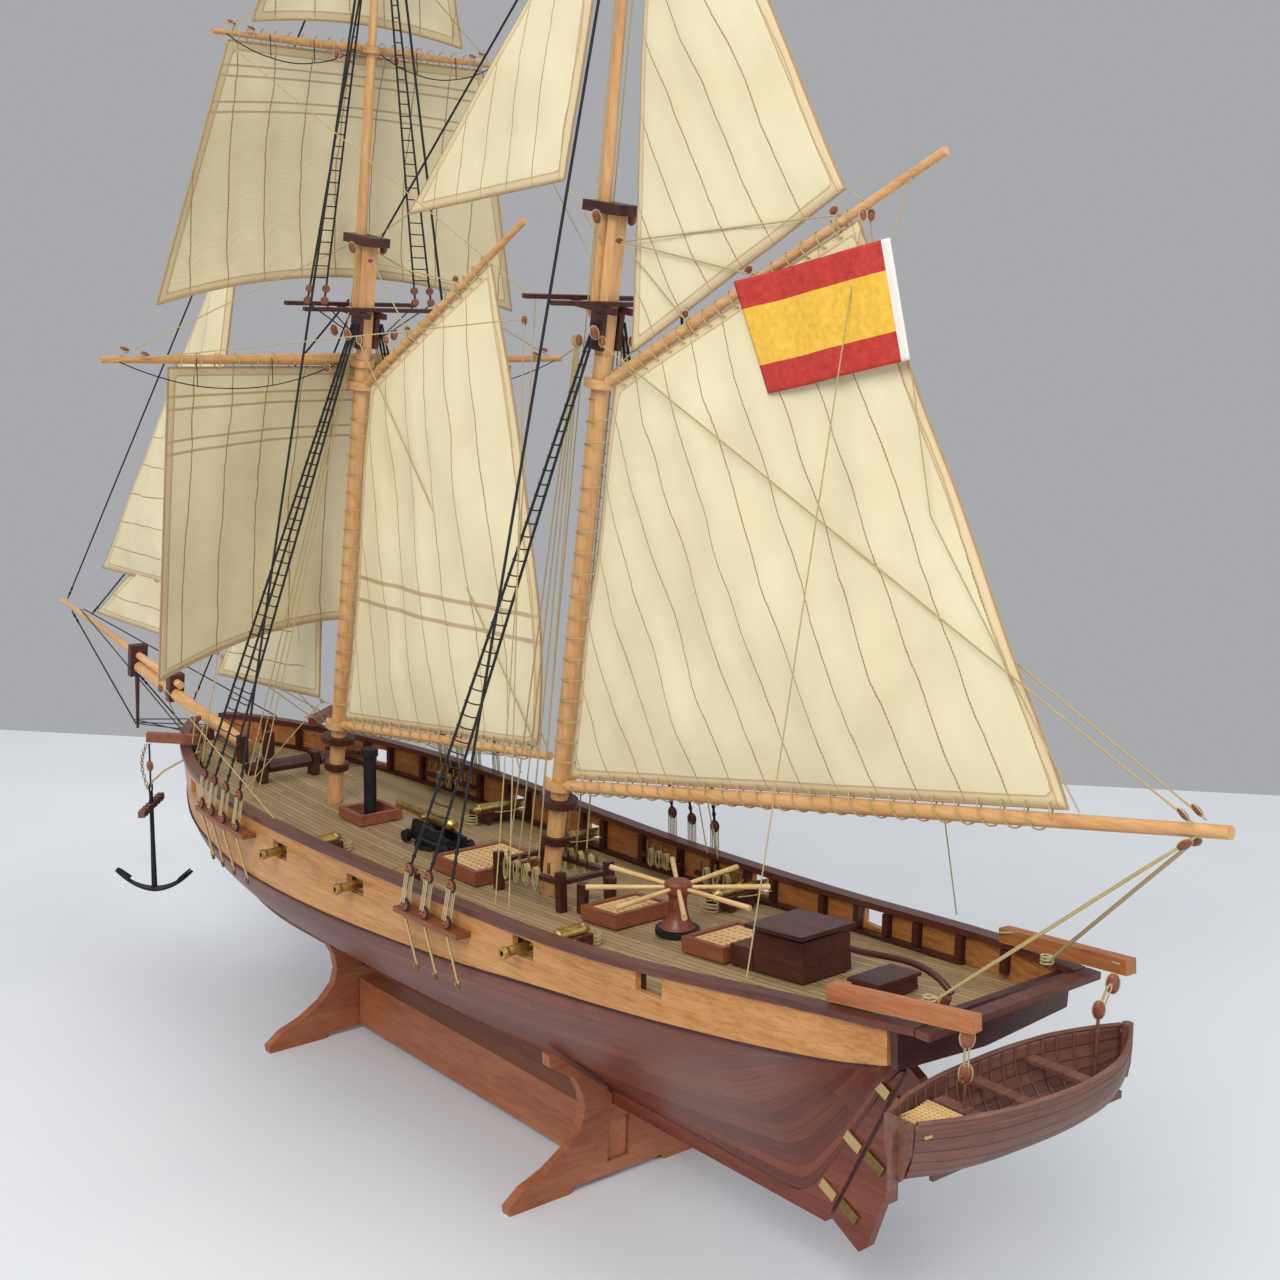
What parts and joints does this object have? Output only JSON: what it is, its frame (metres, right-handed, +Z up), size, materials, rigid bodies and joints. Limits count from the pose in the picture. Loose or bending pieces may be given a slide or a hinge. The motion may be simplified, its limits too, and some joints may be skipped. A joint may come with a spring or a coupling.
{
  "type": "ship model",
  "caption": "Two-masted topsail schooner model under full sail, with an open planked deck and fittings, resting in a wooden cradle stand.",
  "frame": {"origin": "centre of the bounding box on the table under the stand", "axes": "+X towards the bow, +Y to port, +Z up along the plumb line"},
  "size_m": [0.8785, 0.254, 0.6042],
  "materials": {
    "mahogany": "satin",
    "dark_wood": "satin",
    "light_wood": "satin",
    "deck_wood": "satin",
    "spar_wood": "satin",
    "boxwood": "satin",
    "plywood": "satin",
    "brass": "satin",
    "blackened_metal": "satin",
    "sailcloth": "matte",
    "black_cord": "matte",
    "tan_cord": "matte",
    "flag_cloth": "matte",
    "davit_wood": "satin"
  },
  "bodies": {
    "hull": {"keel_stem_sternpost": "mahogany", "internal_frame": "plywood", "hull_planking": "mahogany", "deck": "deck_wood", "bulwark_port": "light_wood", "bulwark_starboard": "light_wood", "timberheads": "dark_wood", "cap_rail": "dark_wood", "transom": "dark_wood", "channels": "mahogany", "hull_ironwork": "brass", "deadeyes": "dark_wood", "davits": "davit_wood", "hatch_coamings": "mahogany", "hatch_gratings": "deck_wood", "deckhouses": "dark_wood", "bitts_and_rails": "dark_wood", "belaying_pins": "brass", "chimney": "blackened_metal", "capstan_base": "blackened_metal", "gun_carriages": "dark_wood", "gun_barrels": "brass", "main_lower_mast": "spar_wood", "fore_lower_mast": "spar_wood", "topmasts": "spar_wood", "spar_fittings": "dark_wood", "crosstrees": "dark_wood", "bowsprit": "spar_wood", "jibboom": "spar_wood", "standing_rigging": "black_cord", "running_rigging": "tan_cord", "staysails": "sailcloth", "stand_cradles": "plywood", "stand_board": "plywood"},
    "rudder": {"rudder_blade": "mahogany", "rudder_straps": "brass", "tiller": "mahogany"},
    "capstan": {"capstan_drum": "mahogany", "capstan_bars": "boxwood"},
    "windlass": {"windlass_barrel": "dark_wood"},
    "main_sail": {"main_boom": "spar_wood", "main_gaff": "spar_wood", "mainsail": "sailcloth", "gaff_topsail": "sailcloth", "ensign": "flag_cloth", "main_sail_gear": "tan_cord"},
    "fore_sail": {"fore_boom": "spar_wood", "fore_gaff": "spar_wood", "foresail": "sailcloth", "fore_sail_gear": "tan_cord"},
    "course_yard": {"lower_yard": "spar_wood", "course": "sailcloth"},
    "topsail_yard": {"topsail_yards": "spar_wood", "topsails": "sailcloth"},
    "boat": {"boat_hull": "mahogany", "boat_fittings": "dark_wood"},
    "port_anchor": {"anchor": "blackened_metal", "anchor_stock": "light_wood"},
    "pivot_mount": {"pivot_carriage": "blackened_metal"},
    "pivot_tube": {"pivot_barrel": "brass"}
  },
  "joints": [
    {"name": "rudder_turn", "type": "hinge", "parent": "hull", "child": "rudder", "pos_m": [-0.30495, 0, 0.07005], "axis": [-0.4406, 0, 0.8977], "range_deg": [-28, 28]},
    {"name": "capstan_turn", "type": "hinge", "parent": "hull", "child": "capstan", "pos_m": [-0.1974, 0, 0.12913], "axis": [0, 0, 1], "continuous": true},
    {"name": "windlass_turn", "type": "hinge", "parent": "hull", "child": "windlass", "pos_m": [0.1266, 0, 0.12391], "axis": [0, 1, 0], "continuous": true},
    {"name": "main_swing", "type": "hinge", "parent": "hull", "child": "main_sail", "pos_m": [-0.11902, 0, 0.165], "axis": [-0.1479, 0, 0.989], "range_deg": [-10, 10]},
    {"name": "fore_swing", "type": "hinge", "parent": "hull", "child": "fore_sail", "pos_m": [0.07027, 0, 0.1565], "axis": [-0.1551, 0, 0.9879], "range_deg": [-8, 8]},
    {"name": "course_brace", "type": "hinge", "parent": "hull", "child": "course_yard", "pos_m": [0.04138, 0, 0.3405], "axis": [-0.1551, 0, 0.9879], "range_deg": [-3, 3]},
    {"name": "topsail_brace", "type": "hinge", "parent": "hull", "child": "topsail_yard", "pos_m": [0.02932, 0, 0.484], "axis": [-0.1386, 0, 0.9903], "range_deg": [-6, 6]},
    {"name": "boat_lower", "type": "slide", "parent": "hull", "child": "boat", "axis": [0, 0, 1], "range_m": [-0.05, 0]},
    {"name": "anchor_swing", "type": "hinge", "parent": "hull", "child": "port_anchor", "pos_m": [0.1761, 0.057, 0.1332], "axis": [0.638, 0.77, 0], "range_deg": [-12, 12]},
    {"name": "pivot_train", "type": "hinge", "parent": "hull", "child": "pivot_mount", "pos_m": [-0.0174, 0, 0.11341], "axis": [0, 0, 1], "range_deg": [-35, 35]},
    {"name": "pivot_elevate", "type": "hinge", "parent": "pivot_mount", "child": "pivot_tube", "pos_m": [-0.0154, 0, 0.12681], "axis": [0, -1, 0], "range_deg": [-1.5, 8]}
  ]
}
